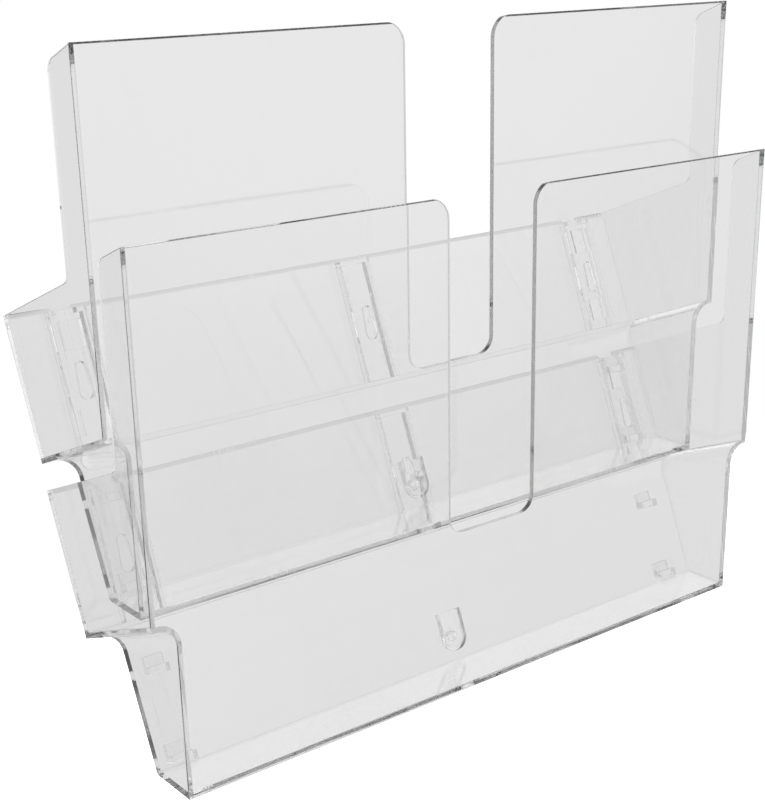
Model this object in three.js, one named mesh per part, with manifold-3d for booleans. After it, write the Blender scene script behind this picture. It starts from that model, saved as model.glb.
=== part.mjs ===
// Clear wall rack for magazines: two identical moulded pockets.
// The lower pocket hangs on the upper pocket's hooks.
// Millimetres, +Z up the wall, +X to the right, the wall on the +Y side and the reader on the -Y side.
// The origin is on the wall plane, at the upper pocket's middle fixing screw.
import * as THREE from 'three';
import { mergeVertices } from 'three/addons/utils/BufferGeometryUtils.js';
import Module from 'manifold-3d';

const wasm = await Module();
wasm.setup();

// Overall size of one pocket. Heights are measured up the wall from the pocket's shoulder.
const WIDTH = 330;
const WALL = 2.2;
const TOP_HEIGHT = 130.2;
const SHOULDER_DEPTH = 57;
const LEAN = THREE.MathUtils.degToRad(22);
const SIDE_DRAFT = 2;
const BACK_HEIGHT = 59.2;
const BACK_CHAMFER = 2;

// Side flange above the back panel.
const FLANGE_DEPTH = 17.6;
const FLANGE_CORNER = 6;
const FLANGE_FILLET = 5;

// Trough below the shoulder, which holds the bottom edge of the papers.
const TROUGH_LENGTH = 71.6;
const TROUGH_HALF_WIDTH = 152.8;
const TROUGH_DRAFT = 1;
const TROUGH_REAR_TOP = 7.2;
const TROUGH_REAR_BOTTOM = 8.2;
const COVE_RADIUS = 8.4;
const TROUGH_CORNER = 2.5;
const INNER_CORNER = 0.8;

// Finger notch in the front panel.
const NOTCH_HALF_WIDTH = 23;
const NOTCH_BOTTOM = 1;
const NOTCH_LIP_RADIUS = 9;
const NOTCH_FLOOR_RADIUS = 7;

// Three channels pressed forward out of the back panel, with their openings.
const STRIP_SPACING = 138.3;
const STRIP_HALF_WIDTH = 8.1;
const STRIP_HEIGHT = 3.9;
const STRIP_SIDE_WALL = 1;
const STRIP_TOP = BACK_HEIGHT - BACK_CHAMFER;
const RECESS_TOP = STRIP_TOP - 1.8;
const WINDOW_HALF_WIDTH = 4.8;
const UPPER_WINDOW = [41, 52.5];
const LOWER_WINDOW = [6.7, 17.1];
const KEYHOLE_HEIGHT = 23.4;
const KEYHOLE_RADIUS = 2.9;
const KEYHOLE_NECK_HEIGHT = 34;
const KEYHOLE_NECK_RADIUS = 1.9;

// Hooks on the back of the trough. They hold the next pocket down by the tops of its windows.
const PITCH = 69.6;
const CLEARANCE = 0.3;
const HOOK_HALF_WIDTH = 4.3;
const HOOK_ROOT = 3.2;
const HOOK_LIP = 4.2;
const HOOK_LIP_THICKNESS = 2;

// Snap tongue in the trough's back wall, with a nub that clicks into the next pocket's keyhole.
const TONGUE_ROOT = -35;
const TONGUE_END = KEYHOLE_HEIGHT - PITCH;
const TONGUE_HALF_WIDTH = 5.4;
const TONGUE_SLOT = 1.1;
const TONGUE_REACH = 14;
const NUB_BASE_RADIUS = 2.2;
const NUB_TIP_RADIUS = 0.5;
const NUB_SHOULDER_RADIUS = 2.4;
const NUB_HEIGHT = 0.9;

// Smoothness of arcs and of full rounds, and how far cutters run past the faces they open.
const ARC_SEGMENTS = 10;
const ROUND_SEGMENTS = 24;
const WELD_DISTANCE = 1e-4;
const OVERSHOOT = 1;
const BEYOND = 20;

// ---- solids ----

function solidFrom(geometry, matrix) {
  const plain = geometry.clone();
  plain.deleteAttribute('normal');
  plain.deleteAttribute('uv');
  if (matrix) plain.applyMatrix4(matrix);
  const merged = mergeVertices(plain, WELD_DISTANCE);
  const mesh = new wasm.Mesh({
    numProp: 3,
    vertProperties: Float32Array.from(merged.attributes.position.array),
    triVerts: Uint32Array.from(merged.index.array),
  });
  return new wasm.Manifold(mesh);
}

function geometryFrom(solid) {
  const mesh = solid.getMesh();
  const geometry = new THREE.BufferGeometry();
  const positions = Float32Array.from(mesh.vertProperties);
  geometry.setAttribute('position', new THREE.BufferAttribute(positions, 3));
  geometry.setIndex(new THREE.BufferAttribute(Uint32Array.from(mesh.triVerts), 1));
  const flat = geometry.toNonIndexed();
  flat.computeVertexNormals();
  return flat;
}

// A closed outline through corners [a, b, radius]; every corner with a radius becomes an arc.
function outline(corners) {
  const shape = new THREE.Shape();
  const count = corners.length;
  corners.forEach(([a, b, radius = 0], index) => {
    const corner = new THREE.Vector2(a, b);
    const before = new THREE.Vector2(...corners[(index + count - 1) % count]);
    const after = new THREE.Vector2(...corners[(index + 1) % count]);
    const toBefore = before.sub(corner).normalize();
    const toAfter = after.sub(corner).normalize();
    if (radius === 0) {
      if (index === 0) shape.moveTo(a, b);
      else shape.lineTo(a, b);
      return;
    }
    const half = Math.acos(toBefore.dot(toAfter)) / 2;
    const start = corner.clone().addScaledVector(toBefore, radius / Math.tan(half));
    const bisector = toBefore.clone().add(toAfter).normalize();
    const centre = corner.clone().addScaledVector(bisector, radius / Math.sin(half));
    const end = corner.clone().addScaledVector(toAfter, radius / Math.tan(half));
    const startAngle = Math.atan2(start.y - centre.y, start.x - centre.x);
    const endAngle = Math.atan2(end.y - centre.y, end.x - centre.x);
    const clockwise = toBefore.cross(toAfter) > 0;
    if (index === 0) shape.moveTo(start.x, start.y);
    else shape.lineTo(start.x, start.y);
    shape.absarc(centre.x, centre.y, radius, startAngle, endAngle, clockwise);
  });
  shape.closePath();
  return shape;
}

function extrude(shape, depth, matrix) {
  const options = { depth, bevelEnabled: false, curveSegments: ARC_SEGMENTS };
  return solidFrom(new THREE.ExtrudeGeometry(shape, options), matrix);
}

// Outline in (y, z), swept along X across the whole pocket.
function sweepAcross(shape, halfWidth) {
  const axes = new THREE.Matrix4().makeBasis(
    new THREE.Vector3(0, 1, 0),
    new THREE.Vector3(0, 0, 1),
    new THREE.Vector3(1, 0, 0),
  );
  axes.setPosition(-halfWidth, 0, 0);
  return extrude(shape, 2 * halfWidth, axes);
}

// Outline in (x, z), swept along -Y from the plane y = rear towards the reader.
function sweepForward(shape, rear, depth) {
  const axes = new THREE.Matrix4().makeBasis(
    new THREE.Vector3(1, 0, 0),
    new THREE.Vector3(0, 0, 1),
    new THREE.Vector3(0, -1, 0),
  );
  axes.setPosition(0, rear, 0);
  return extrude(shape, depth, axes);
}

function box(x0, x1, y0, y1, z0, z1) {
  const centre = new THREE.Matrix4().makeTranslation((x0 + x1) / 2, (y0 + y1) / 2, (z0 + z1) / 2);
  return solidFrom(new THREE.BoxGeometry(x1 - x0, y1 - y0, z1 - z0), centre);
}

// ---- one pocket ----

// A point of the leaning front, from its distance up the panel and its depth behind the front face.
function leaning(up, behind) {
  const y = -SHOULDER_DEPTH - up * Math.sin(LEAN) + behind * Math.cos(LEAN);
  const z = up * Math.cos(LEAN) + behind * Math.sin(LEAN);
  return [y, z];
}

function leaningAtHeight(z, behind) {
  const up = (z - behind * Math.sin(LEAN)) / Math.cos(LEAN);
  return leaning(up, behind);
}

// Depth of the trough's rear outer face at a height: it slopes forward as it goes down.
function troughRear(z) {
  return -TROUGH_REAR_TOP + (z / TROUGH_REAR_HEIGHT) * (TROUGH_REAR_BOTTOM - TROUGH_REAR_TOP);
}

const FLOOR_REACH = (-TROUGH_REAR_BOTTOM - leaning(-TROUGH_LENGTH, 0)[0]) / Math.cos(LEAN);
const TROUGH_REAR_HEIGHT = -leaning(-TROUGH_LENGTH, FLOOR_REACH)[1];

function halfWidthAt(z) {
  return WIDTH / 2 - SIDE_DRAFT * (1 - z / TOP_HEIGHT);
}

function troughHalfWidthAt(z) {
  return TROUGH_HALF_WIDTH + (TROUGH_DRAFT * z) / TROUGH_REAR_HEIGHT;
}

function outerSection() {
  return outline([
    [0, 0],
    [0, BACK_HEIGHT],
    [...leaningAtHeight(BACK_HEIGHT, FLANGE_DEPTH), FLANGE_FILLET],
    [...leaningAtHeight(TOP_HEIGHT, FLANGE_DEPTH), FLANGE_CORNER],
    leaningAtHeight(TOP_HEIGHT, 0),
    [...leaning(-TROUGH_LENGTH, 0), INNER_CORNER],
    [-TROUGH_REAR_BOTTOM, -TROUGH_REAR_HEIGHT, TROUGH_CORNER],
    [-TROUGH_REAR_TOP, 0],
  ]);
}

function innerSection() {
  const above = TOP_HEIGHT + BEYOND;
  const floorUp = WALL - TROUGH_LENGTH;
  const rearBottom = troughRear(-TROUGH_REAR_HEIGHT) - WALL;
  const floorReach = (rearBottom - leaning(floorUp, 0)[0]) / Math.cos(LEAN);
  return outline([
    [-WALL, WALL],
    [-WALL, above],
    leaningAtHeight(above, WALL),
    leaning(floorUp, WALL),
    leaning(floorUp, floorReach),
    [-TROUGH_REAR_TOP - WALL, WALL, INNER_CORNER],
  ]);
}

// Half outline on the right, mirrored to close it on the left.
function mirroredOutline(rightCorners) {
  const leftCorners = rightCorners.map(([x, z, radius = 0]) => [-x, z, radius]).reverse();
  return outline([...rightCorners, ...leftCorners]);
}

function frontOutline(inset, coveRadius) {
  const above = TOP_HEIGHT + BEYOND;
  const below = -TROUGH_LENGTH - BEYOND;
  return mirroredOutline([
    [troughHalfWidthAt(below) - inset, below],
    [troughHalfWidthAt(0) - inset, inset, coveRadius],
    [halfWidthAt(0) - inset, inset],
    [halfWidthAt(above) - inset, above],
  ]);
}

function notchCutter() {
  const length = TOP_HEIGHT / Math.cos(LEAN);
  const wide = NOTCH_HALF_WIDTH + NOTCH_LIP_RADIUS;
  const shape = mirroredOutline([
    [NOTCH_HALF_WIDTH, NOTCH_BOTTOM, NOTCH_FLOOR_RADIUS],
    [NOTCH_HALF_WIDTH, length, NOTCH_LIP_RADIUS],
    [wide + BEYOND, length],
    [wide + BEYOND, length + BEYOND],
  ]);
  const up = new THREE.Vector3(0, -Math.sin(LEAN), Math.cos(LEAN));
  const outward = new THREE.Vector3(0, -Math.cos(LEAN), -Math.sin(LEAN));
  const axes = new THREE.Matrix4().makeBasis(new THREE.Vector3(1, 0, 0), up, outward);
  const behind = 2 * WALL;
  axes.setPosition(0, ...leaning(0, behind));
  return extrude(shape, behind + WALL, axes);
}

function keyhole(x) {
  const taper = KEYHOLE_RADIUS - KEYHOLE_NECK_RADIUS;
  const flank = Math.atan2(taper, KEYHOLE_NECK_HEIGHT - KEYHOLE_HEIGHT);
  const shape = new THREE.Shape();
  shape.absarc(x, KEYHOLE_NECK_HEIGHT, KEYHOLE_NECK_RADIUS, flank, Math.PI - flank, false);
  shape.absarc(x, KEYHOLE_HEIGHT, KEYHOLE_RADIUS, Math.PI - flank, 2 * Math.PI + flank, false);
  shape.closePath();
  return sweepForward(shape, -STRIP_HEIGHT + OVERSHOOT, WALL + 2 * OVERSHOOT);
}

function stripBody(x) {
  const front = -WALL - STRIP_HEIGHT;
  return box(x - STRIP_HALF_WIDTH, x + STRIP_HALF_WIDTH, front, -WALL / 2, WALL / 2, STRIP_TOP);
}

// The hollow behind a strip, open towards the wall.
function stripRecess(x) {
  const half = STRIP_HALF_WIDTH - STRIP_SIDE_WALL;
  return box(x - half, x + half, -STRIP_HEIGHT, OVERSHOOT, WALL, RECESS_TOP);
}

function stripWindow(x, [bottom, top]) {
  const rear = -STRIP_HEIGHT + OVERSHOOT;
  const front = -STRIP_HEIGHT - WALL - OVERSHOOT;
  return box(x - WINDOW_HALF_WIDTH, x + WINDOW_HALF_WIDTH, front, rear, bottom, top);
}

// Room above the upper window for the lip of the hook that passes through it.
function lipRelief(x) {
  const left = x - WINDOW_HALF_WIDTH;
  const right = x + WINDOW_HALF_WIDTH;
  return box(left, right, -STRIP_HEIGHT, OVERSHOOT, UPPER_WINDOW[1], BACK_HEIGHT + OVERSHOOT);
}

// The slope along the front of the back panel's top edge.
function backChamfer() {
  const above = BACK_HEIGHT + OVERSHOOT;
  const side = outline([
    [-WALL, STRIP_TOP],
    [-WALL + BACK_CHAMFER, BACK_HEIGHT],
    [-WALL + BACK_CHAMFER, above],
    [-WALL, above],
  ]);
  return sweepAcross(side, halfWidthAt(0) - WALL);
}

// An upright hook: a root that passes through a window, and a lip that stands up behind the strip.
function hook(x, windowTop) {
  const rootTop = windowTop - PITCH - CLEARANCE;
  const bottom = rootTop - HOOK_ROOT;
  const lipFront = -STRIP_HEIGHT + CLEARANCE;
  const lipRear = lipFront + HOOK_LIP_THICKNESS;
  const buried = troughRear(bottom) - WALL / 2;
  const root = box(x - HOOK_HALF_WIDTH, x + HOOK_HALF_WIDTH, buried, lipRear, bottom, rootTop);
  const lip = box(x - HOOK_HALF_WIDTH, x + HOOK_HALF_WIDTH, lipFront, lipRear, bottom, rootTop + HOOK_LIP);
  return root.add(lip);
}

const TONGUE_AXIS_HEIGHT = TONGUE_ROOT - WALL / 2 - CLEARANCE;

function tongueOutline(halfWidth, top) {
  const shape = new THREE.Shape();
  shape.moveTo(halfWidth, top);
  shape.lineTo(-halfWidth, top);
  shape.absarc(0, TONGUE_END, halfWidth, Math.PI, 2 * Math.PI, false);
  shape.closePath();
  return shape;
}

function tongueSweep(halfWidth, top) {
  return sweepForward(tongueOutline(halfWidth, top), 0, TONGUE_REACH);
}

function pocketShell() {
  const reach = WIDTH / 2 + BEYOND;
  const outer = sweepAcross(outerSection(), reach).intersect(
    sweepForward(frontOutline(0, COVE_RADIUS), BEYOND, WIDTH),
  );
  const inner = sweepAcross(innerSection(), reach).intersect(
    sweepForward(frontOutline(WALL, COVE_RADIUS + WALL / 2), BEYOND, WIDTH),
  );
  return outer.subtract(inner);
}

function pocket() {
  let solid = pocketShell().subtract(backChamfer());
  for (const x of [-STRIP_SPACING, 0, STRIP_SPACING]) {
    solid = solid.add(stripBody(x)).subtract(stripRecess(x)).subtract(keyhole(x));
  }
  for (const x of [-STRIP_SPACING, STRIP_SPACING]) {
    solid = solid.subtract(lipRelief(x));
    for (const span of [UPPER_WINDOW, LOWER_WINDOW]) {
      solid = solid.subtract(stripWindow(x, span)).add(hook(x, span[1]));
    }
  }
  const opening = tongueSweep(TONGUE_HALF_WIDTH + TONGUE_SLOT, TONGUE_ROOT);
  return solid.subtract(notchCutter()).subtract(opening);
}

// ---- the snap tongue ----

function nub() {
  const face = -WALL - STRIP_HEIGHT;
  const base = troughRear(TONGUE_END) - WALL / 2;
  const profile = [
    new THREE.Vector2(0, base),
    new THREE.Vector2(NUB_SHOULDER_RADIUS, base),
    new THREE.Vector2(NUB_BASE_RADIUS, face),
    new THREE.Vector2(NUB_TIP_RADIUS, face + NUB_HEIGHT),
    new THREE.Vector2(0, face + NUB_HEIGHT),
  ];
  const place = new THREE.Matrix4().makeTranslation(0, 0, TONGUE_END);
  return solidFrom(new THREE.LatheGeometry(profile, ROUND_SEGMENTS), place);
}

function tongue() {
  const middle = troughRear(TONGUE_AXIS_HEIGHT) - WALL / 2;
  const plate = pocketShell().intersect(tongueSweep(TONGUE_HALF_WIDTH, TONGUE_AXIS_HEIGHT));
  const lying = new THREE.Matrix4().makeRotationZ(Math.PI / 2);
  lying.setPosition(0, middle, TONGUE_AXIS_HEIGHT);
  const width = 2 * TONGUE_HALF_WIDTH;
  const root = new THREE.CylinderGeometry(WALL / 2, WALL / 2, width, ROUND_SEGMENTS);
  return plate.add(solidFrom(root, lying)).add(nub());
}

// ---- the rack ----

function clearPlastic() {
  return new THREE.MeshStandardMaterial({
    color: 0xe9eeef,
    roughness: 0.06,
    metalness: 0,
    transparent: true,
    opacity: 0.3,
  });
}

function pocketGroup(prefix, shoulderHeight) {
  const group = new THREE.Group();
  group.position.set(0, 0, shoulderHeight);
  const body = new THREE.Mesh(geometryFrom(pocket()), clearPlastic());
  body.name = `${prefix}_pocket`;
  const snap = new THREE.Mesh(geometryFrom(tongue()), clearPlastic());
  snap.name = `${prefix}_snap_tongue`;
  group.add(body, snap);
  return group;
}

const rack = new THREE.Group();
rack.add(pocketGroup('upper', -KEYHOLE_NECK_HEIGHT));
rack.add(pocketGroup('lower', -KEYHOLE_NECK_HEIGHT - PITCH));

export default rack;
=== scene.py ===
import math

import bmesh
import bpy
from mathutils import Matrix, Vector


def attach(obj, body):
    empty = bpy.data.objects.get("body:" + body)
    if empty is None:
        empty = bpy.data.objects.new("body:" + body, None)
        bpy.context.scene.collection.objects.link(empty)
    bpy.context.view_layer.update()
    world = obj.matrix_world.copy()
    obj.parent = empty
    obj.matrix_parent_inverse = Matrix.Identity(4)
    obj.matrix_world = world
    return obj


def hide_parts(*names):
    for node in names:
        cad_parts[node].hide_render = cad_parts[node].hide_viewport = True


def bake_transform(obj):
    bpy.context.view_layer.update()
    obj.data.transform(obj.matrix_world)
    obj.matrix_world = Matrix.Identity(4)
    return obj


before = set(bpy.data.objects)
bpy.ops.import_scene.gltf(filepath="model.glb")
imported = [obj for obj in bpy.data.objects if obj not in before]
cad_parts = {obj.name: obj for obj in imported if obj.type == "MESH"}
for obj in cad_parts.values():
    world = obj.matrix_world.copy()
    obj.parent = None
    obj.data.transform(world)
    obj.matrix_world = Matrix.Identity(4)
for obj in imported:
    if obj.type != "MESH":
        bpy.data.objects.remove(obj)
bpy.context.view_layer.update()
scene = bpy.context.scene

# All sizes of the pockets are in millimetres; a finished mesh is scaled to metres.
MM = 0.001

# One pocket, measured from the underside of its shoulder.
HALF_WIDTH_TOP = 165.0
HALF_WIDTH_SHOULDER = 163.0
WALL = 2.2
TOP = 130.2
SHOULDER_DEPTH = 57.0
LEAN = math.radians(22)
SIN, COS = math.sin(LEAN), math.cos(LEAN)
BACK_HEIGHT = 59.2
BACK_CHAMFER = 2.0
FLANGE_DEPTH = 17.6
FLANGE_CORNER = 6.0
FLANGE_FILLET = 5.0
TROUGH_LENGTH = 71.6
TROUGH_HALF_WIDTH = 152.8
TROUGH_DRAFT = 1.0
REAR_TOP = 7.2
REAR_BOTTOM = 8.2
COVE = 8.4
TROUGH_CORNER = 2.5
NOTCH_HALF_WIDTH = 23.0
NOTCH_BOTTOM = 1.0
NOTCH_LIP = 9.0
NOTCH_FLOOR = 7.0
NOTCH_STEP = 0.02
STRIPS = (-138.3, 0.0, 138.3)
STRIP_HALF_WIDTH = 8.1
STRIP_HEIGHT = 3.9
STRIP_SIDE = 1.0
STRIP_ROOF = 1.8
STRIP_TOP = BACK_HEIGHT - BACK_CHAMFER
RECESS_TOP = STRIP_TOP - STRIP_ROOF
WINDOW_HALF_WIDTH = 4.8
WINDOWS = ((41.0, 52.5), (6.7, 17.1))
KEYHOLE_HEIGHT = 23.4
KEYHOLE_RADIUS = 2.9
NECK_HEIGHT = 34.0
NECK_RADIUS = 1.9
PITCH = 69.6
CLEARANCE = 0.3
HOOK_HALF_WIDTH = 4.3
HOOK_ROOT = 3.2
HOOK_LIP = 4.2
LIP_THICKNESS = 2.0
TONGUE_ROOT = -35.0
TONGUE_END = KEYHOLE_HEIGHT - PITCH
TONGUE_HALF_WIDTH = 5.4
TONGUE_SLOT = 1.1
TONGUE_JOIN = 0.04
TONGUE_REACH = SHOULDER_DEPTH / 4
NUB_BASE_RADIUS = 2.4
NUB_RADIUS = 2.2
NUB_TOP_RADIUS = 0.5
NUB_HEIGHT = 0.9
NUB_SHOULDER = 0.8
OVERSHOOT = 1.0
FAR = 20.0

# Heights of the two pockets' shoulders above the origin.
UPPER = -NECK_HEIGHT
LOWER = UPPER - PITCH

# The tongue is cut across at this many levels below its root, spaced this far apart.
BEND_CUTS = 11
CUT_SPACING = 0.6

# Smoothness of round parts: steps in a quarter turn, or in the part that is named.
CORNER_STEPS = 12
SECTION_STEPS = 8
KEYHOLE_NECK_STEPS = 12
KEYHOLE_STEPS = 16
TONGUE_STEPS = 24
NUB_STEPS = 32

# Finish of a moulded mesh.
EDGE_ROUND = 0.15
TONGUE_EDGE_ROUND = 0.2
EDGE_STEPS = 2
EDGE_ANGLE = math.radians(28)
FLAT_ANGLE = math.radians(0.6)
WELD_DISTANCE = 0.002
LARGE_FACE_WEIGHT = 90
LARGEST_KEPT_FACE = 4

# Clear styrene.
PLASTIC_SHADE = 0.965
PLASTIC_IOR = 1.59
PLASTIC_DEPTH_SHADE = 0.3
PLASTIC_DEPTH_DENSITY = 6.0

# Its marks, with sizes in metres. A RANGE is the part of the noise, from 0 to 1, over which a mark fades in.
PATCH_SIZE = 0.045
HAZE_RANGE = (0.48, 0.78)
HAZE_ROUGHNESS = (0.004, 0.045)
WORN_RANGE = (0.42, 0.6)
WORN_ROUGHNESS = (0.0, 0.16)
SCRATCH_SIZE = 0.0013
SCRATCH_STRETCH = (1, 1, 45)
SCRATCH_TURN = (0, 0.5, 0.2)
SCRATCH_RANGE = (0.68, 0.76)
FLOW_SIZE = 0.028
FLOW_STRETCH = (1, 1, 2.2)
FLOW_HEIGHT = 0.00016

# Brightness of the studio where no softbox is, and the least that a sloping softbox falls to.
STUDIO_LEVEL = 0.66
LEAST_LEVEL = 0.4

# Softboxes, each over the ones before it: direction, degrees from it where the light is full and where it
# is gone, brightness, and a slope, which is how much brighter the light gets per unit along it.
SOFTBOXES = (
    # Overhead, and up from the floor.
    ((0, 0, 1), 30, 50, 0.8, None),
    ((0, 0, -1), 30, 50, 1.1, None),
    # Behind the camera, beyond the side walls, and behind the rack.
    ((-0.586, -0.81, 0), 30, 45, 1.0, None),
    ((-0.586, 0.81, 0), 14, 26, 0.62, None),
    ((0, 1, 0), 10, 24, 0.82, None),
    # Mirrored in the leaning fronts.
    ((0.586, -0.59, -0.556), 18, 30, 0.85, None),
    # Mirrored in the upright back panels: high, low and level.
    ((0.55, -0.75, 0.38), 12, 26, 1.1, None),
    ((0.57, -0.78, -0.25), 8, 20, 1.1, None),
    ((0.586, -0.81, 0.02), 9, 20, 1.0, (-0.79, -0.54, 2.3)),
    # Mirrored in the trough floors.
    ((0.586, 0.589, 0.557), 15, 28, 1.25, None),
    # Seen straight through the rack.
    ((0.586, 0.81, 0.01), 20, 30, 0.81, None),
)

# The camera's place in metres, the way its axes point, and its lens in millimetres.
CAMERA_PLACE = Vector((-0.4026, -0.5597, 0.0551 + LOWER * MM))
CAMERA_RIGHT = Vector((0.7870, -0.5656, -0.2463))
CAMERA_UP = Vector((0.1938, -0.1524, 0.9691))
CAMERA_FORWARD = Vector((0.5857, 0.8105, 0.0103))
CAMERA_LENS = 69.16
CAMERA_SENSOR = 36
CAMERA_NEAR, CAMERA_FAR = 0.01, 50

# The floor, in metres.
FLOOR_HEIGHT = -0.9
FLOOR_RADIUS = 12.0
FLOOR_STEPS = 96
FLOOR_SHADE = 0.9
FLOOR_ROUGHNESS = 0.8

# Light has to pass many clear walls, and run along inside them to reach their edges.
MAX_BOUNCES = 80
TRANSMISSION_BOUNCES = 32
GLOSSY_BOUNCES = 64


# ---- outlines ----

def outline(corners, steps=CORNER_STEPS):
    """Points of a closed outline through (a, b, radius) corners; a radius turns the corner into an arc."""
    points = []
    count = len(corners)
    for i, corner in enumerate(corners):
        here = Vector(corner[:2])
        radius = corner[2] if len(corner) > 2 else 0.0
        if radius == 0:
            points.append(here)
            continue
        back = (Vector(corners[i - 1][:2]) - here).normalized()
        on = (Vector(corners[(i + 1) % count][:2]) - here).normalized()
        half = math.acos(max(-1.0, min(1.0, back.dot(on)))) / 2
        centre = here + (back + on).normalized() * (radius / math.sin(half))
        start = here + back * (radius / math.tan(half)) - centre
        end = here + on * (radius / math.tan(half)) - centre
        a0 = math.atan2(start.y, start.x)
        turn = math.atan2(start.x * end.y - start.y * end.x, start.dot(end))
        n = max(3, round(steps * abs(turn) / (math.pi / 2)))
        for k in range(n + 1):
            angle = a0 + turn * k / n
            points.append(centre + Vector((math.cos(angle), math.sin(angle))) * radius)
    return points


def mirrored(right):
    """The outline whose right half goes through these corners."""
    left = [(-c[0], *c[1:]) for c in reversed(right)]
    return outline([*right, *left])


def circle_arc(x, z, radius, start, end, steps):
    return [
        Vector((x + radius * math.cos(start + (end - start) * k / steps),
                z + radius * math.sin(start + (end - start) * k / steps)))
        for k in range(steps + 1)
    ]


# ---- solids ----

def mesh_object(name, bm):
    bmesh.ops.recalc_face_normals(bm, faces=bm.faces)
    mesh = bpy.data.meshes.new(name)
    bm.to_mesh(mesh)
    bm.free()
    obj = bpy.data.objects.new(name, mesh)
    scene.collection.objects.link(obj)
    return obj


def prism(points, place, depth):
    """An outline of (a, b) points, put in space by place(a, b, c), with c from depth[0] to depth[1]."""
    bm = bmesh.new()
    near = [bm.verts.new(place(p.x, p.y, depth[0])) for p in points]
    far = [bm.verts.new(place(p.x, p.y, depth[1])) for p in points]
    bm.faces.new(near)
    bm.faces.new(far)
    for i in range(len(points)):
        j = (i + 1) % len(points)
        bm.faces.new((near[i], near[j], far[j], far[i]))
    return mesh_object("solid", bm)


def across(points, half_width):
    """A side view of (y, z) points, drawn out to both sides."""
    return prism(points, lambda y, z, x: (x, y, z), (-half_width, half_width))


def through(points, y0, y1):
    """A front view of (x, z) points, drawn out from y0 to y1."""
    return prism(points, lambda x, z, y: (x, y, z), (y0, y1))


def block(x0, x1, y0, y1, z0, z1):
    corners = [Vector(c) for c in ((x0, z0), (x1, z0), (x1, z1), (x0, z1))]
    return through(corners, y0, y1)


def discard(obj):
    mesh = obj.data
    bpy.data.objects.remove(obj)
    if mesh.users == 0:
        bpy.data.meshes.remove(mesh)


def apply_modifiers(obj):
    graph = bpy.context.evaluated_depsgraph_get()
    mesh = bpy.data.meshes.new_from_object(obj.evaluated_get(graph))
    obj.modifiers.clear()
    old = obj.data
    obj.data = mesh
    bpy.data.meshes.remove(old)


def combine(obj, other, how):
    """obj joined with, cut by or kept inside other, which is used up."""
    step = obj.modifiers.new("step", "BOOLEAN")
    step.operation = how
    step.solver = "EXACT"
    step.object = other
    apply_modifiers(obj)
    discard(other)
    return obj


# ---- one pocket ----

def leaning(up, behind):
    """The (y, z) of a point so far up along the leaning front and so far behind its outer face."""
    return (-SHOULDER_DEPTH - up * SIN + behind * COS, up * COS + behind * SIN)


def leaning_at(z, behind):
    return leaning((z - behind * SIN) / COS, behind)


FLOOR_REACH = (-REAR_BOTTOM - leaning(-TROUGH_LENGTH, 0)[0]) / COS
REAR_HEIGHT = -leaning(-TROUGH_LENGTH, FLOOR_REACH)[1]


def rear_at(z):
    """The y of the trough's rear face, which slopes a little."""
    return -REAR_TOP + z / REAR_HEIGHT * (REAR_BOTTOM - REAR_TOP)


def half_width_at(z):
    return HALF_WIDTH_TOP - (HALF_WIDTH_TOP - HALF_WIDTH_SHOULDER) * (1 - z / TOP)


def trough_half_width_at(z):
    return TROUGH_HALF_WIDTH + TROUGH_DRAFT * z / REAR_HEIGHT


def outer_section():
    return outline([
        (0, 0),
        (0, BACK_HEIGHT),
        (*leaning_at(BACK_HEIGHT, FLANGE_DEPTH), FLANGE_FILLET),
        (*leaning_at(TOP, FLANGE_DEPTH), FLANGE_CORNER),
        leaning_at(TOP, 0),
        leaning(-TROUGH_LENGTH, 0),
        (-REAR_BOTTOM, -REAR_HEIGHT, TROUGH_CORNER),
        (-REAR_TOP, 0),
    ], SECTION_STEPS)


def inner_section():
    above = TOP + FAR
    floor_up = WALL - TROUGH_LENGTH
    rear = rear_at(-REAR_HEIGHT) - WALL
    reach = (rear - leaning(floor_up, 0)[0]) / COS
    return outline([
        (-WALL, WALL),
        (-WALL, above),
        leaning_at(above, WALL),
        leaning(floor_up, WALL),
        leaning(floor_up, reach),
        (-REAR_TOP - WALL, WALL),
    ])


def front_outline(inset, cove):
    above, below = TOP + FAR, -TROUGH_LENGTH - FAR
    return mirrored([
        (trough_half_width_at(below) - inset, below),
        (trough_half_width_at(0) - inset, inset, cove),
        (half_width_at(0) - inset, inset),
        (half_width_at(above) - inset, above),
    ])


def front_view(inset, cove):
    """The pocket's outline seen from the front, as a solid deeper than the pocket."""
    return through(front_outline(inset, cove), -2 * HALF_WIDTH_TOP, FAR)


def shell():
    """The pocket's walls: its outside less its inside."""
    reach = HALF_WIDTH_TOP + FAR
    outer = across(outer_section(), reach)
    combine(outer, front_view(0, COVE), "INTERSECT")
    inner = across(inner_section(), reach)
    combine(inner, front_view(WALL, COVE + WALL / 2), "INTERSECT")
    return combine(outer, inner, "DIFFERENCE")


def notch():
    """The finger notch in the leaning front, its upper corners rounded outwards."""
    length = TOP / COS
    wide = NOTCH_HALF_WIDTH + NOTCH_LIP + NOTCH_STEP
    points = mirrored([
        (NOTCH_HALF_WIDTH, NOTCH_BOTTOM, NOTCH_FLOOR),
        (NOTCH_HALF_WIDTH, length, NOTCH_LIP),
        (wide, length + NOTCH_STEP),
        (wide, length + FAR),
    ])
    return prism(points, lambda x, up, behind: (x, *leaning(up, behind)), (-WALL, 2 * WALL))


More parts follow.
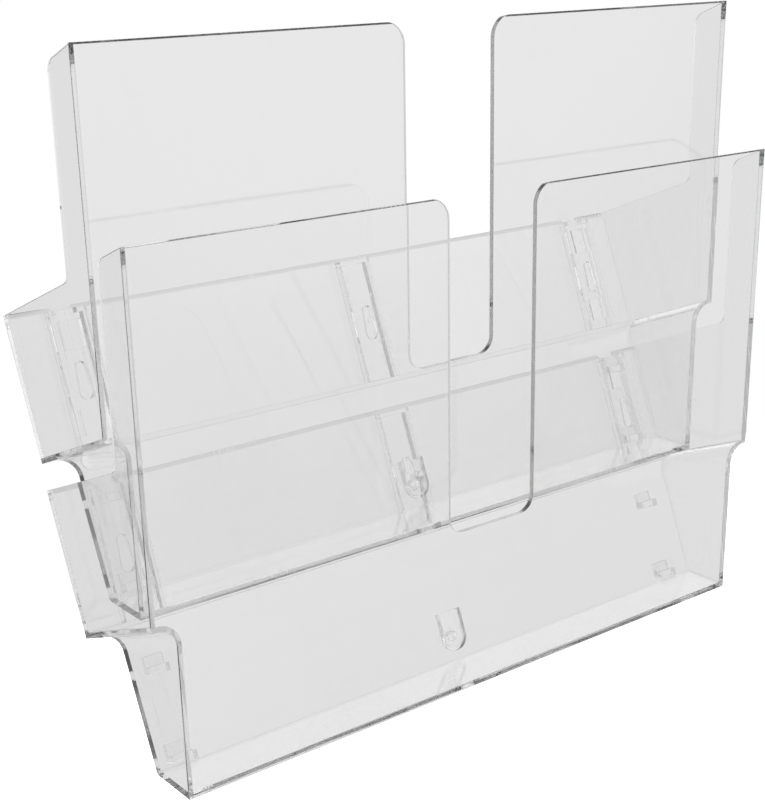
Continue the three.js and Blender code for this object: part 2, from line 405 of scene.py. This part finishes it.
def keyhole(x):
    flank = math.atan2(KEYHOLE_RADIUS - NECK_RADIUS, NECK_HEIGHT - KEYHOLE_HEIGHT)
    neck = circle_arc(x, NECK_HEIGHT, NECK_RADIUS, flank, math.pi - flank, KEYHOLE_NECK_STEPS)
    wide = circle_arc(x, KEYHOLE_HEIGHT, KEYHOLE_RADIUS, math.pi - flank, 2 * math.pi + flank, KEYHOLE_STEPS)
    return through([*neck, *wide], -STRIP_HEIGHT - WALL - OVERSHOOT, -STRIP_HEIGHT + OVERSHOOT)


def strip(solid, x):
    """A channel that stands forward of the back panel, hollow behind, with its keyhole."""
    half = STRIP_HALF_WIDTH
    combine(solid, block(x - half, x + half, -WALL - STRIP_HEIGHT, -WALL / 2, WALL / 2, STRIP_TOP), "UNION")
    half = STRIP_HALF_WIDTH - STRIP_SIDE
    combine(solid, block(x - half, x + half, -STRIP_HEIGHT, OVERSHOOT, WALL, RECESS_TOP), "DIFFERENCE")
    combine(solid, keyhole(x), "DIFFERENCE")


def lip_relief(x):
    """Room above the upper window for the lip of the hook that passes through it."""
    left, right = x - WINDOW_HALF_WIDTH, x + WINDOW_HALF_WIDTH
    return block(left, right, -STRIP_HEIGHT, OVERSHOOT, WINDOWS[0][1], BACK_HEIGHT + OVERSHOOT)


def back_chamfer():
    """The slope along the front of the back panel's top edge."""
    above = BACK_HEIGHT + OVERSHOOT
    behind = BACK_CHAMFER - WALL
    side = [Vector(p) for p in (
        (-WALL, STRIP_TOP), (behind, BACK_HEIGHT), (behind, above), (-WALL, above),
    )]
    return across(side, HALF_WIDTH_SHOULDER - WALL)


def window(x, bottom, top):
    front = -STRIP_HEIGHT - WALL - OVERSHOOT
    return block(x - WINDOW_HALF_WIDTH, x + WINDOW_HALF_WIDTH, front, -STRIP_HEIGHT + OVERSHOOT, bottom, top)


def hook(x, window_top):
    """The hook behind the trough that goes through the next pocket's window, its lip standing up."""
    root_top = window_top - PITCH - CLEARANCE
    bottom = root_top - HOOK_ROOT
    lip_front = -STRIP_HEIGHT + CLEARANCE
    lip_rear = lip_front + LIP_THICKNESS
    buried = rear_at(bottom) - WALL / 2
    side = [Vector(p) for p in (
        (buried, bottom), (lip_rear, bottom), (lip_rear, root_top + HOOK_LIP),
        (lip_front, root_top + HOOK_LIP), (lip_front, root_top), (buried, root_top),
    )]
    return prism(side, lambda y, z, c: (x + c, y, z), (-HOOK_HALF_WIDTH, HOOK_HALF_WIDTH))


def tongue_outline(half_width, top):
    """The tongue's straight sides and round end, as a solid through the trough's rear wall."""
    arc = circle_arc(0, TONGUE_END, half_width, math.pi, 2 * math.pi, TONGUE_STEPS)
    return through([Vector((half_width, top)), Vector((-half_width, top)), *arc], -TONGUE_REACH, 0)


def pocket():
    solid = shell()
    combine(solid, back_chamfer(), "DIFFERENCE")
    for x in STRIPS:
        strip(solid, x)
    for x in (STRIPS[0], STRIPS[2]):
        combine(solid, lip_relief(x), "DIFFERENCE")
        for bottom, top in WINDOWS:
            combine(solid, window(x, bottom, top), "DIFFERENCE")
            combine(solid, hook(x, top), "UNION")
    combine(solid, notch(), "DIFFERENCE")
    return combine(solid, tongue_outline(TONGUE_HALF_WIDTH + TONGUE_SLOT, TONGUE_ROOT), "DIFFERENCE")


def nub():
    """The round nub at the tongue's end, in rings from inside the wall to its tip."""
    face = -WALL - STRIP_HEIGHT
    rings = (
        (rear_at(TONGUE_END) - WALL / 2, NUB_BASE_RADIUS),
        (face, NUB_RADIUS),
        (face + NUB_HEIGHT * NUB_SHOULDER, NUB_TOP_RADIUS * 2),
        (face + NUB_HEIGHT, NUB_TOP_RADIUS),
    )
    angles = [2 * math.pi * k / NUB_STEPS for k in range(NUB_STEPS)]
    bm = bmesh.new()
    loops = [
        [bm.verts.new((radius * math.cos(a), y, TONGUE_END + radius * math.sin(a))) for a in angles]
        for y, radius in rings
    ]
    for low, high in zip(loops[:-1], loops[1:]):
        for k in range(NUB_STEPS):
            j = (k + 1) % NUB_STEPS
            bm.faces.new((low[k], low[j], high[j], high[k]))
    bm.faces.new(loops[0])
    bm.faces.new(loops[-1])
    return mesh_object("nub", bm)


def tongue():
    """The U-cut flap with its nub, reaching a little into the wall that it grows from."""
    plate = shell()
    combine(plate, tongue_outline(TONGUE_HALF_WIDTH, TONGUE_ROOT - TONGUE_JOIN), "INTERSECT")
    return combine(plate, nub(), "UNION")


def finish_mesh(obj, name, round_by):
    """Clean faces, rounded edges, even shading, metres."""
    bm = bmesh.new()
    bm.from_mesh(obj.data)
    bmesh.ops.remove_doubles(bm, verts=bm.verts, dist=WELD_DISTANCE)
    bmesh.ops.dissolve_limit(bm, angle_limit=FLAT_ANGLE, verts=bm.verts, edges=bm.edges)
    bm.to_mesh(obj.data)
    bm.free()
    bevel = obj.modifiers.new("edges", "BEVEL")
    bevel.width = round_by
    bevel.segments = EDGE_STEPS
    bevel.limit_method = "ANGLE"
    bevel.angle_limit = EDGE_ANGLE
    bevel.use_clamp_overlap = False
    bevel.loop_slide = False
    bevel.harden_normals = False
    faces = obj.modifiers.new("faces", "TRIANGULATE")
    faces.min_vertices = LARGEST_KEPT_FACE + 1
    shading = obj.modifiers.new("shading", "WEIGHTED_NORMAL")
    shading.mode = "FACE_AREA"
    shading.weight = LARGE_FACE_WEIGHT
    shading.keep_sharp = True
    for face in obj.data.polygons:
        face.use_smooth = True
    apply_modifiers(obj)
    obj.data.transform(Matrix.Scale(MM, 4))
    obj.data.name = name
    obj.name = name
    return obj


def cut_to_bend(obj):
    """The tongue's faces cut across at levels below its root."""
    bm = bmesh.new()
    bm.from_mesh(obj.data)
    for k in range(1, BEND_CUTS + 1):
        level = (0, 0, (TONGUE_ROOT - CUT_SPACING * k) * MM)
        everything = [*bm.verts, *bm.edges, *bm.faces]
        bmesh.ops.bisect_plane(bm, geom=everything, plane_co=level, plane_no=(0, 0, 1))
    bm.to_mesh(obj.data)
    bm.free()


# ---- clear plastic ----

def spread(tree, source, from_range, to_range=(0.0, 1.0)):
    """A value mapped smoothly from one range to another, and held at its ends beyond."""
    made = tree.nodes.new("ShaderNodeMapRange")
    made.interpolation_type = "SMOOTHSTEP"
    made.inputs["From Min"].default_value = from_range[0]
    made.inputs["From Max"].default_value = from_range[1]
    made.inputs["To Min"].default_value = to_range[0]
    made.inputs["To Max"].default_value = to_range[1]
    tree.links.new(source, made.inputs["Value"])
    return made.outputs["Result"]


def grain(tree, point, size, detail, stretch=(1, 1, 1), turn=(0, 0, 0)):
    """Noise with features of about size metres; stretch draws them out, turn tips them over."""
    mapping = tree.nodes.new("ShaderNodeMapping")
    mapping.inputs["Rotation"].default_value = turn
    mapping.inputs["Scale"].default_value = [1 / (size * s) for s in stretch]
    noise = tree.nodes.new("ShaderNodeTexNoise")
    noise.inputs["Scale"].default_value = 1.0
    noise.inputs["Detail"].default_value = detail
    tree.links.new(point, mapping.inputs["Vector"])
    tree.links.new(mapping.outputs["Vector"], noise.inputs["Vector"])
    return noise.outputs["Fac"]


def calculated(tree, how, first, second):
    """A calculation on two values, of which the second may be a plain number."""
    made = tree.nodes.new("ShaderNodeMath")
    made.operation = how
    tree.links.new(first, made.inputs[0])
    if isinstance(second, float):
        made.inputs[1].default_value = second
    else:
        tree.links.new(second, made.inputs[1])
    return made.outputs["Value"]


def clear_plastic():
    """Moulded clear styrene: gentle flow waves, patches of handling haze and fine scratches within them."""
    mat = bpy.data.materials.new("clear_plastic")
    mat.use_nodes = True
    tree = mat.node_tree
    link = tree.links.new
    point = tree.nodes.new("ShaderNodeTexCoord").outputs["Object"]
    patches = grain(tree, point, PATCH_SIZE, 1)
    haze = spread(tree, patches, HAZE_RANGE, HAZE_ROUGHNESS)
    worn = spread(tree, patches, WORN_RANGE, WORN_ROUGHNESS)
    streaks = grain(tree, point, SCRATCH_SIZE, 0, SCRATCH_STRETCH, SCRATCH_TURN)
    scratches = calculated(tree, "MULTIPLY", spread(tree, streaks, SCRATCH_RANGE), worn)
    bump = tree.nodes.new("ShaderNodeBump")
    bump.inputs["Strength"].default_value = 1.0
    bump.inputs["Distance"].default_value = FLOW_HEIGHT
    link(grain(tree, point, FLOW_SIZE, 0, FLOW_STRETCH), bump.inputs["Height"])
    shader = tree.nodes["Principled BSDF"]
    shader.inputs["Base Color"].default_value = (PLASTIC_SHADE, PLASTIC_SHADE, PLASTIC_SHADE, 1)
    shader.inputs["Transmission Weight"].default_value = 1.0
    shader.inputs["IOR"].default_value = PLASTIC_IOR
    link(calculated(tree, "ADD", haze, scratches), shader.inputs["Roughness"])
    link(bump.outputs["Normal"], shader.inputs["Normal"])
    depth = tree.nodes.new("ShaderNodeVolumeAbsorption")
    depth.inputs["Color"].default_value = (PLASTIC_DEPTH_SHADE, PLASTIC_DEPTH_SHADE, PLASTIC_DEPTH_SHADE, 1)
    depth.inputs["Density"].default_value = PLASTIC_DEPTH_DENSITY
    link(depth.outputs["Volume"], tree.nodes["Material Output"].inputs["Volume"])
    return mat


# ---- the two pockets in their places ----

def place(source, name, height, plastic, node_name):
    """A copy of source at its height, standing for one CAD node."""
    obj = bpy.data.objects.new(name, source.data.copy())
    scene.collection.objects.link(obj)
    obj.data.transform(Matrix.Translation((0, 0, height * MM)))
    obj.data.materials.clear()
    obj.data.materials.append(plastic)
    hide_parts(node_name)
    return obj


def rack():
    one_pocket = finish_mesh(pocket(), "pocket", EDGE_ROUND)
    one_tongue = finish_mesh(tongue(), "tongue", TONGUE_EDGE_ROUND)
    cut_to_bend(one_tongue)
    plastic = clear_plastic()
    for body, height in (("upper", UPPER), ("lower", LOWER)):
        moulding = place(one_pocket, f"{body}_moulding", height, plastic, f"{body}_pocket")
        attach(moulding, body)
        flap = place(one_tongue, f"{body}_tongue", height, plastic, f"{body}_snap_tongue")
        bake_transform(flap)
    discard(one_pocket)
    discard(one_tongue)


# ---- studio ----

def facing(tree, ray, direction):
    """How far a ray goes along a direction."""
    dot = tree.nodes.new("ShaderNodeVectorMath")
    dot.operation = "DOT_PRODUCT"
    dot.inputs[1].default_value = direction
    tree.links.new(ray, dot.inputs[0])
    return dot.outputs["Value"]


def softbox(tree, ray, before, direction, inner, outer, level, slope):
    """The light of before, turning smoothly into level from outer to inner degrees around a direction."""
    fade = (math.cos(math.radians(outer)), math.cos(math.radians(inner)))
    near = spread(tree, facing(tree, ray, Vector(direction).normalized()), fade)
    mix = tree.nodes.new("ShaderNodeMix")
    mix.data_type = "FLOAT"
    tree.links.new(near, mix.inputs["Factor"])
    tree.links.new(before, mix.inputs["A"])
    mix.inputs["B"].default_value = level
    if slope:
        rising = calculated(tree, "ADD", facing(tree, ray, slope), level)
        tree.links.new(calculated(tree, "MAXIMUM", rising, LEAST_LEVEL), mix.inputs["B"])
    return mix.outputs["Result"]


def studio():
    """Softboxes all round, which the plastic shows; the camera itself sees plain white."""
    world = bpy.data.worlds.new("studio")
    scene.world = world
    world.use_nodes = True
    world.cycles.sampling_method = "NONE"
    tree = world.node_tree
    ray = tree.nodes.new("ShaderNodeTexCoord").outputs["Generated"]
    base = tree.nodes.new("ShaderNodeValue")
    base.outputs[0].default_value = STUDIO_LEVEL
    light = base.outputs[0]
    for box in SOFTBOXES:
        light = softbox(tree, ray, light, *box)
    path = tree.nodes.new("ShaderNodeLightPath")
    seen = tree.nodes.new("ShaderNodeMix")
    seen.data_type = "FLOAT"
    seen.inputs["B"].default_value = 1.0
    tree.links.new(path.outputs["Is Camera Ray"], seen.inputs["Factor"])
    tree.links.new(light, seen.inputs["A"])
    tree.links.new(seen.outputs["Result"], tree.nodes["Background"].inputs["Color"])


def camera():
    data = bpy.data.cameras.new("camera")
    data.lens = CAMERA_LENS
    data.sensor_width = CAMERA_SENSOR
    data.clip_start = CAMERA_NEAR
    data.clip_end = CAMERA_FAR
    obj = bpy.data.objects.new("camera", data)
    scene.collection.objects.link(obj)
    turned = Matrix((CAMERA_RIGHT, CAMERA_UP, -CAMERA_FORWARD)).transposed().to_4x4()
    obj.matrix_world = Matrix.Translation(CAMERA_PLACE) @ turned
    scene.camera = obj


def pale_floor():
    """A wide pale floor well below the wall rack, lit so evenly that it runs into the background."""
    bm = bmesh.new()
    bmesh.ops.create_circle(bm, cap_ends=True, segments=FLOOR_STEPS, radius=FLOOR_RADIUS)
    floor = mesh_object("floor", bm)
    floor.location.z = FLOOR_HEIGHT
    mat = bpy.data.materials.new("floor")
    mat.use_nodes = True
    shader = mat.node_tree.nodes["Principled BSDF"]
    shader.inputs["Base Color"].default_value = (FLOOR_SHADE, FLOOR_SHADE, FLOOR_SHADE, 1)
    shader.inputs["Roughness"].default_value = FLOOR_ROUGHNESS
    shader.inputs["Emission Color"].default_value = (1, 1, 1, 1)
    shader.inputs["Emission Strength"].default_value = 1.0
    floor.data.materials.append(mat)
    floor.visible_glossy = False
    floor.visible_transmission = False
    floor.visible_shadow = False


rack()
studio()
camera()
pale_floor()

scene.cycles.max_bounces = MAX_BOUNCES
scene.cycles.transmission_bounces = TRANSMISSION_BOUNCES
scene.cycles.glossy_bounces = GLOSSY_BOUNCES
scene.cycles.use_denoising = True
scene.view_settings.view_transform = "Standard"
